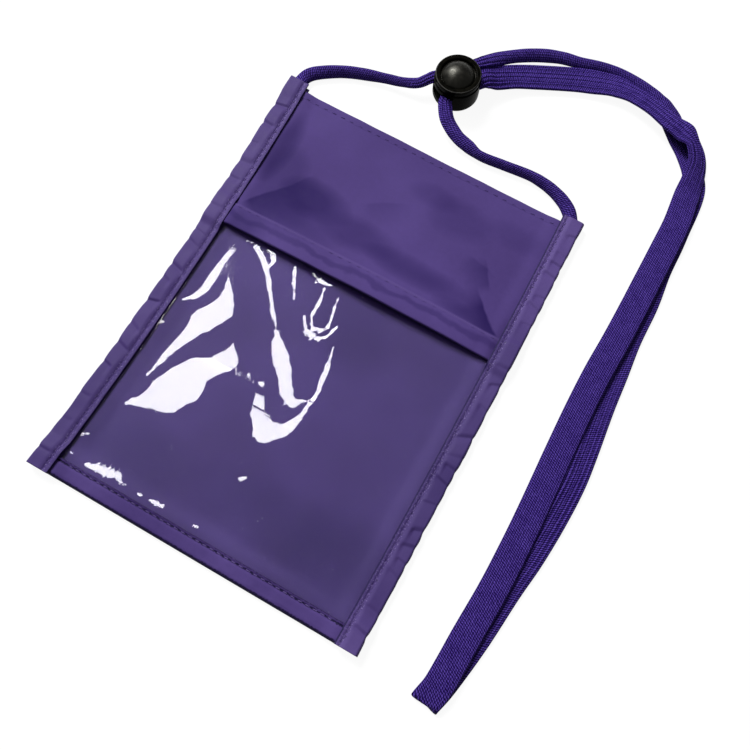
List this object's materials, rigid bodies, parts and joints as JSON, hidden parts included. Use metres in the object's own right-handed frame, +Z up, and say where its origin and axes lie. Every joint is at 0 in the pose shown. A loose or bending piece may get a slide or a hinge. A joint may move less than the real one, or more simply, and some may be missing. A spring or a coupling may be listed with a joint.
{
  "type": "neck wallet",
  "caption": "Flat sewn nylon wallet with a clear front window and a hemmed header, bound side edges, and a flat neck lace that runs through a sprung sliding cord lock.",
  "frame": {"origin": "under the middle of the sewn body, on the surface it lies on, measured without the lace and its lock", "axes": "+X across the wallet to its right as seen from the front, +Y from the bottom hem to the header, +Z up out of the clear window"},
  "size_m": [0.162, 0.237, 0.0138],
  "materials": {
    "nylon": "plain-woven taffeta, low sheen",
    "clear_vinyl": "clear, glossy",
    "lace": "flat knitted polyester",
    "black_plastic": "moulded, glossy",
    "spring_steel": "drawn wire"
  },
  "bodies": {
    "wallet": {"back_panel": "nylon", "front_panel": "nylon", "window_sheet": "clear_vinyl", "header_panel": "nylon", "left_binding": "nylon", "right_binding": "nylon", "bottom_hem": "nylon", "lace_left": "lace", "lace_right": "lace", "lace_loop": "lace"},
    "lock": {"lock_body": "black_plastic", "lock_spring": "spring_steel"},
    "button": {"lock_button": "black_plastic"}
  },
  "joints": [
    {"name": "lock_slide", "type": "slide", "parent": "wallet", "child": "lock", "axis": [0.6018, 0.7986, 0], "range_m": [0, 0.02]},
    {"name": "button_press", "type": "slide", "parent": "lock", "child": "button", "axis": [0, 0, -1], "range_m": [0, 0.0018], "stiffness_N_per_m": 1000, "deforming": ["lock_spring"]}
  ]
}
